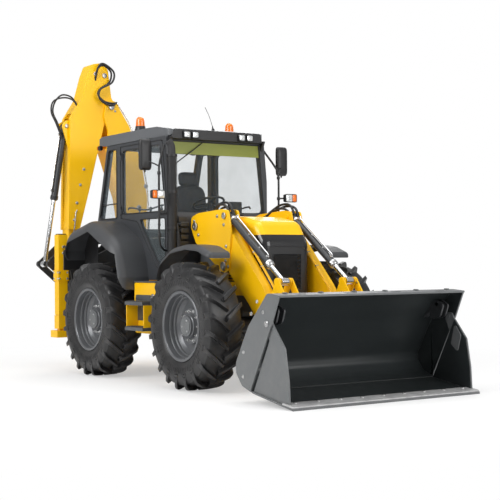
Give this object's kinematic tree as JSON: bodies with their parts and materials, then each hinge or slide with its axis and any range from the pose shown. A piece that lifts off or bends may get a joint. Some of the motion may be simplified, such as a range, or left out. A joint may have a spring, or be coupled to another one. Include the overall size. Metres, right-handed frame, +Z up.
{
  "type": "backhoe loader",
  "caption": "Backhoe loader with equal wheels, a cab, a loader with a split-jaw bucket and a side-shifting backhoe folded and swung to one side.",
  "frame": {"origin": "middle of the outline's footprint, on the ground", "axes": "+X forward to the loader bucket, +Y to the machine's left, +Z up"},
  "size_m": [5.921, 2.4, 4.099],
  "materials": {
    "yellow_paint": "semi-gloss",
    "grey_paint": "satin",
    "dark_paint": "satin",
    "rim_paint": "satin",
    "tyre_rubber": "matte",
    "chrome_rod": "polished",
    "window_glass": "clear",
    "black_plastic": "matte",
    "grey_plastic": "matte",
    "lamp_body": "gloss",
    "engine_iron": "matte",
    "seat_cover": "matte"
  },
  "bodies": {
    "machine": {"main_frame": "yellow_paint", "engine_block": "engine_iron", "hood": "yellow_paint", "grille": "black_plastic", "cab_frame": "dark_paint", "cab_glazing": "window_glass", "cab_roof": "grey_plastic", "seat": "seat_cover", "steering_console": "black_plastic", "fenders": "grey_paint", "side_boxes": "yellow_paint", "steps": "grey_paint", "front_axle": "dark_paint", "rear_axle": "dark_paint", "exhaust_stack": "black_plastic", "mirror_rails": "black_plastic", "roof_lamps": "lamp_body", "rear_frame": "yellow_paint"},
    "knuckle_front_right": {"knuckle_front_right": "dark_paint"},
    "wheel_front_right": {"rim_front_right": "rim_paint", "tyre_front_right": "tyre_rubber"},
    "knuckle_front_left": {"knuckle_front_left": "dark_paint"},
    "wheel_front_left": {"rim_front_left": "rim_paint", "tyre_front_left": "tyre_rubber"},
    "knuckle_rear_right": {"knuckle_rear_right": "dark_paint"},
    "wheel_rear_right": {"rim_rear_right": "rim_paint", "tyre_rear_right": "tyre_rubber"},
    "knuckle_rear_left": {"knuckle_rear_left": "dark_paint"},
    "wheel_rear_left": {"rim_rear_left": "rim_paint", "tyre_rear_left": "tyre_rubber"},
    "door_right": {"door_right": "dark_paint", "door_glass_right": "window_glass"},
    "door_left": {"door_left": "dark_paint", "door_glass_left": "window_glass"},
    "loader_arms": {"loader_arms": "yellow_paint"},
    "lift_barrels": {"lift_barrels": "dark_paint"},
    "lift_rods": {"lift_rods": "chrome_rod"},
    "loader_bucket": {"loader_bucket": "grey_paint"},
    "bucket_clam": {"bucket_clam": "grey_paint"},
    "tilt_levers": {"tilt_levers": "yellow_paint"},
    "bucket_links": {"bucket_links": "yellow_paint"},
    "tilt_barrels": {"tilt_barrels": "dark_paint"},
    "tilt_rods": {"tilt_rods": "chrome_rod"},
    "shift_carriage": {"shift_carriage": "yellow_paint"},
    "swing_post": {"swing_post": "yellow_paint"},
    "boom": {"boom": "yellow_paint"},
    "dipper": {"dipper": "yellow_paint"},
    "dipper_extension": {"dipper_extension": "yellow_paint"},
    "boom_barrel": {"boom_barrel": "dark_paint"},
    "boom_rod": {"boom_rod": "chrome_rod"},
    "dipper_barrel": {"dipper_barrel": "dark_paint"},
    "dipper_rod": {"dipper_rod": "chrome_rod"},
    "curl_barrel": {"curl_barrel": "dark_paint"},
    "curl_rod": {"curl_rod": "chrome_rod"},
    "curl_lever": {"curl_lever": "dark_paint"},
    "curl_link": {"curl_link": "dark_paint"},
    "digging_bucket": {"digging_bucket": "dark_paint"},
    "leg_right": {"leg_right": "yellow_paint"},
    "leg_left": {"leg_left": "yellow_paint"}
  },
  "joints": [
    {"name": "steer_front_right", "type": "hinge", "parent": "machine", "child": "knuckle_front_right", "pos_m": [0.7965, -0.8, 0.695], "axis": [0, 0, 1], "range_deg": [-20, 20]},
    {"name": "spin_front_right", "type": "hinge", "parent": "knuckle_front_right", "child": "wheel_front_right", "pos_m": [0.7965, -0.925, 0.695], "axis": [0, 1, 0], "continuous": true},
    {"name": "steer_front_left", "type": "hinge", "parent": "machine", "child": "knuckle_front_left", "pos_m": [0.7965, 0.8, 0.695], "axis": [0, 0, 1], "range_deg": [-20.4, 20.4]},
    {"name": "spin_front_left", "type": "hinge", "parent": "knuckle_front_left", "child": "wheel_front_left", "pos_m": [0.7965, 0.925, 0.695], "axis": [0, 1, 0], "continuous": true},
    {"name": "steer_rear_right", "type": "hinge", "parent": "machine", "child": "knuckle_rear_right", "pos_m": [-1.4105, -0.8, 0.695], "axis": [0, 0, 1], "range_deg": [-20, 20]},
    {"name": "spin_rear_right", "type": "hinge", "parent": "knuckle_rear_right", "child": "wheel_rear_right", "pos_m": [-1.4105, -0.925, 0.695], "axis": [0, 1, 0], "continuous": true},
    {"name": "steer_rear_left", "type": "hinge", "parent": "machine", "child": "knuckle_rear_left", "pos_m": [-1.4105, 0.8, 0.695], "axis": [0, 0, 1], "range_deg": [-20.4, 20.4]},
    {"name": "spin_rear_left", "type": "hinge", "parent": "knuckle_rear_left", "child": "wheel_rear_left", "pos_m": [-1.4105, 0.925, 0.695], "axis": [0, 1, 0], "continuous": true},
    {"name": "open_door_right", "type": "hinge", "parent": "machine", "child": "door_right", "pos_m": [-1.2935, -0.714, 2.3], "axis": [0, 0, -1], "range_deg": [0, 80]},
    {"name": "open_door_left", "type": "hinge", "parent": "machine", "child": "door_left", "pos_m": [-1.2935, 0.714, 2.3], "axis": [0, 0, 1], "range_deg": [0, 80]},
    {"name": "lift_arms", "type": "hinge", "parent": "machine", "child": "loader_arms", "pos_m": [0.1495, 0, 1.8], "axis": [0, -1, 0], "range_deg": [-3, 83]},
    {"name": "turn_lift_barrels", "type": "hinge", "parent": "machine", "child": "lift_barrels", "pos_m": [-0.1605, 0, 0.9], "axis": [0, -1, 0], "range_deg": [-1.87, 33.55]},
    {"name": "extend_lift_rods", "type": "slide", "parent": "lift_barrels", "child": "lift_rods", "axis": [0.8984, 0, 0.4392], "range_m": [-0.0408, 0.7307]},
    {"name": "tilt_bucket", "type": "hinge", "parent": "loader_arms", "child": "loader_bucket", "pos_m": [1.8895, 0, 0.37], "axis": [0, 1, 0], "range_deg": [-40, 104]},
    {"name": "open_clam", "type": "hinge", "parent": "loader_bucket", "child": "bucket_clam", "pos_m": [2.5465, 0, 0.79], "axis": [0, -1, 0], "range_deg": [0, 60]},
    {"name": "turn_tilt_levers", "type": "hinge", "parent": "loader_arms", "child": "tilt_levers", "pos_m": [1.5395, 0, 0.78], "axis": [0, -1, 0], "range_deg": [-89.95, 36.09]},
    {"name": "turn_bucket_links", "type": "hinge", "parent": "loader_bucket", "child": "bucket_links", "pos_m": [2.0695, 0, 0.74], "axis": [0, -1, 0], "range_deg": [-43.77, 109.1]},
    {"name": "turn_tilt_barrels", "type": "hinge", "parent": "loader_arms", "child": "tilt_barrels", "pos_m": [0.7595, 0, 1.9], "axis": [0, -1, 0], "range_deg": [-6.29, 2.53]},
    {"name": "extend_tilt_rods", "type": "slide", "parent": "tilt_barrels", "child": "tilt_rods", "axis": [0.8112, 0, -0.5847], "range_m": [-0.2438, 0.6075]},
    {"name": "shift_backhoe", "type": "slide", "parent": "machine", "child": "shift_carriage", "axis": [0, -1, 0], "range_m": [0, 1.06]},
    {"name": "swing_backhoe", "type": "hinge", "parent": "shift_carriage", "child": "swing_post", "pos_m": [-2.7605, 0.53, 0.69], "axis": [0, 0, -1], "range_deg": [0, 180]},
    {"name": "raise_boom", "type": "hinge", "parent": "swing_post", "child": "boom", "pos_m": [-2.7605, 0.25, 0.98], "axis": [1, 0, 0], "range_deg": [0, 100]},
    {"name": "turn_boom_barrel", "type": "hinge", "parent": "swing_post", "child": "boom_barrel", "pos_m": [-2.7605, 0.55, 1.24], "axis": [-1, 0, 0], "range_deg": [-95.24, 1.87]},
    {"name": "extend_boom_rod", "type": "slide", "parent": "boom_barrel", "child": "boom_rod", "axis": [0, -0.296, 0.9552], "range_m": [-0.0122, 0.6156]},
    {"name": "fold_dipper", "type": "hinge", "parent": "boom", "child": "dipper", "pos_m": [-2.7605, -0.15, 3.512], "axis": [-1, 0, 0], "range_deg": [0, 115]},
    {"name": "turn_dipper_barrel", "type": "hinge", "parent": "boom", "child": "dipper_barrel", "pos_m": [-2.7605, 0.38, 2.45], "axis": [-1, 0, 0], "range_deg": [-0.4, 19.95]},
    {"name": "extend_dipper_rod", "type": "slide", "parent": "dipper_barrel", "child": "dipper_rod", "axis": [0, -0.3817, 0.9243], "range_m": [-0.5873, 0.0116]},
    {"name": "extend_dipper", "type": "slide", "parent": "dipper", "child": "dipper_extension", "axis": [0, -0.021, -0.9998], "range_m": [0, 0.9]},
    {"name": "curl_bucket", "type": "hinge", "parent": "dipper_extension", "child": "digging_bucket", "pos_m": [-2.7605, -0.75, 1.36], "axis": [-1, 0, 0], "range_deg": [0, 160]},
    {"name": "turn_curl_lever", "type": "hinge", "parent": "dipper_extension", "child": "curl_lever", "pos_m": [-2.7605, -0.72, 1.69], "axis": [-1, 0, 0], "range_deg": [-2.29, 116.54]},
    {"name": "turn_curl_link", "type": "hinge", "parent": "digging_bucket", "child": "curl_link", "pos_m": [-2.7605, -0.66, 1.03], "axis": [-1, 0, 0], "range_deg": [-92.98, 1.83]},
    {"name": "turn_curl_barrel", "type": "hinge", "parent": "dipper_extension", "child": "curl_barrel", "pos_m": [-2.7605, -0.77, 3.227], "axis": [-1, 0, 0], "range_deg": [-1.45, 0.03]},
    {"name": "extend_curl_rod", "type": "slide", "parent": "curl_barrel", "child": "curl_rod", "axis": [0, -0.1605, -0.987], "range_m": [-0.7599, 0.015]},
    {"name": "lower_leg_right", "type": "slide", "parent": "machine", "child": "leg_right", "axis": [0, 0, -1], "range_m": [0, 0.56]},
    {"name": "lower_leg_left", "type": "slide", "parent": "machine", "child": "leg_left", "axis": [0, 0, -1], "range_m": [0, 0.56]}
  ],
  "couplings": [
    {"joint": "steer_front_left", "follows": "steer_front_right", "ratio": 1},
    {"joint": "steer_rear_left", "follows": "steer_rear_right", "ratio": 1},
    {"joint": "turn_lift_barrels", "follows": "lift_arms", "ratio": 0.39595},
    {"joint": "extend_lift_rods", "follows": "lift_arms", "m_per_rad": 0.49409},
    {"joint": "turn_tilt_levers", "follows": "tilt_bucket", "ratio": -0.84151},
    {"joint": "turn_bucket_links", "follows": "tilt_bucket", "ratio": 1.0207},
    {"joint": "turn_tilt_barrels", "follows": "tilt_bucket", "ratio": -0.05882},
    {"joint": "extend_tilt_rods", "follows": "tilt_bucket", "m_per_rad": 0.32559},
    {"joint": "turn_boom_barrel", "follows": "raise_boom", "ratio": -0.93366},
    {"joint": "extend_boom_rod", "follows": "raise_boom", "m_per_rad": 0.34576},
    {"joint": "turn_dipper_barrel", "follows": "fold_dipper", "ratio": 0.17005},
    {"joint": "extend_dipper_rod", "follows": "fold_dipper", "m_per_rad": -0.28682},
    {"joint": "turn_curl_lever", "follows": "curl_bucket", "ratio": 0.71404},
    {"joint": "turn_curl_link", "follows": "curl_bucket", "ratio": -0.5697},
    {"joint": "turn_curl_barrel", "follows": "curl_bucket", "ratio": -0.00884},
    {"joint": "extend_curl_rod", "follows": "curl_bucket", "m_per_rad": -0.26674}
  ]
}
